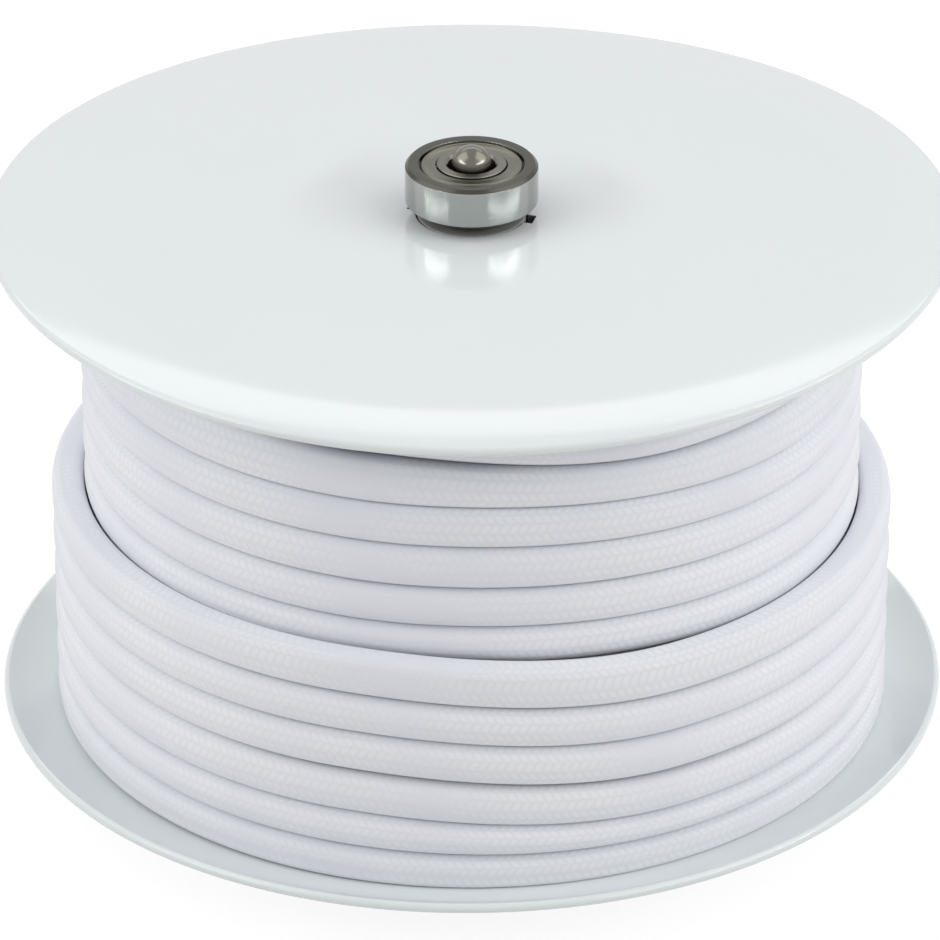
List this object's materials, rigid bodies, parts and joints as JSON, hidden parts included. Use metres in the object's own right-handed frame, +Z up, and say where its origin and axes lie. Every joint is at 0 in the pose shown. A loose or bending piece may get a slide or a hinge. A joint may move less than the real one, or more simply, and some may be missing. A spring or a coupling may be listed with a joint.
{
  "type": "string reel",
  "caption": "Reel of thick white braided cord between two thin round flanges, on an axle with a ball bearing at each end so that the reel turns freely in a holder.",
  "frame": {"origin": "middle of the lower bearing's outer face, at the bottom of the reel", "axes": "+Z up along the axle, the picture looks along +Y from -Y"},
  "size_m": [0.16, 0.16, 0.1108],
  "materials": {
    "flange": "smooth glossy white",
    "hub": "moulded, satin grey",
    "core": "wound board tube, matt",
    "axle": "turned",
    "ring": "ground",
    "ball": "polished",
    "shield": "pressed, dull",
    "cage": "moulded nylon",
    "cord": "braided, matt"
  },
  "bodies": {
    "reel": {"bottom_flange": "flange", "top_flange": "flange", "bottom_hub": "hub", "top_hub": "hub", "core_tube": "core", "axle": "axle", "bottom_spacer": "axle", "top_spacer": "axle", "bottom_inner_ring": "ring", "top_inner_ring": "ring", "cord_underlay": "cord", "cord_winding": "cord"},
    "bottom_race": {"bottom_outer_ring": "ring", "bottom_shield_above": "shield", "bottom_shield_below": "shield"},
    "bottom_ball_set": {"bottom_cage": "cage", "bottom_ball_1": "ball", "bottom_ball_2": "ball", "bottom_ball_3": "ball", "bottom_ball_4": "ball", "bottom_ball_5": "ball", "bottom_ball_6": "ball", "bottom_ball_7": "ball"},
    "top_race": {"top_outer_ring": "ring", "top_shield_above": "shield", "top_shield_below": "shield"},
    "top_ball_set": {"top_cage": "cage", "top_ball_1": "ball", "top_ball_2": "ball", "top_ball_3": "ball", "top_ball_4": "ball", "top_ball_5": "ball", "top_ball_6": "ball", "top_ball_7": "ball"}
  },
  "joints": [
    {"name": "bottom_bearing_spin", "type": "hinge", "parent": "reel", "child": "bottom_race", "pos_m": [0, 0, 0.0035], "axis": [0, 0, 1], "continuous": true},
    {"name": "bottom_balls_roll", "type": "hinge", "parent": "reel", "child": "bottom_ball_set", "pos_m": [0, 0, 0.0035], "axis": [0, 0, 1], "continuous": true},
    {"name": "top_bearing_spin", "type": "hinge", "parent": "reel", "child": "top_race", "pos_m": [0, 0, 0.1043], "axis": [0, 0, 1], "continuous": true},
    {"name": "top_balls_roll", "type": "hinge", "parent": "reel", "child": "top_ball_set", "pos_m": [0, 0, 0.1043], "axis": [0, 0, 1], "continuous": true}
  ],
  "couplings": [
    {"joint": "bottom_balls_roll", "follows": "bottom_bearing_spin", "ratio": 0.6323},
    {"joint": "top_balls_roll", "follows": "top_bearing_spin", "ratio": 0.6323}
  ]
}
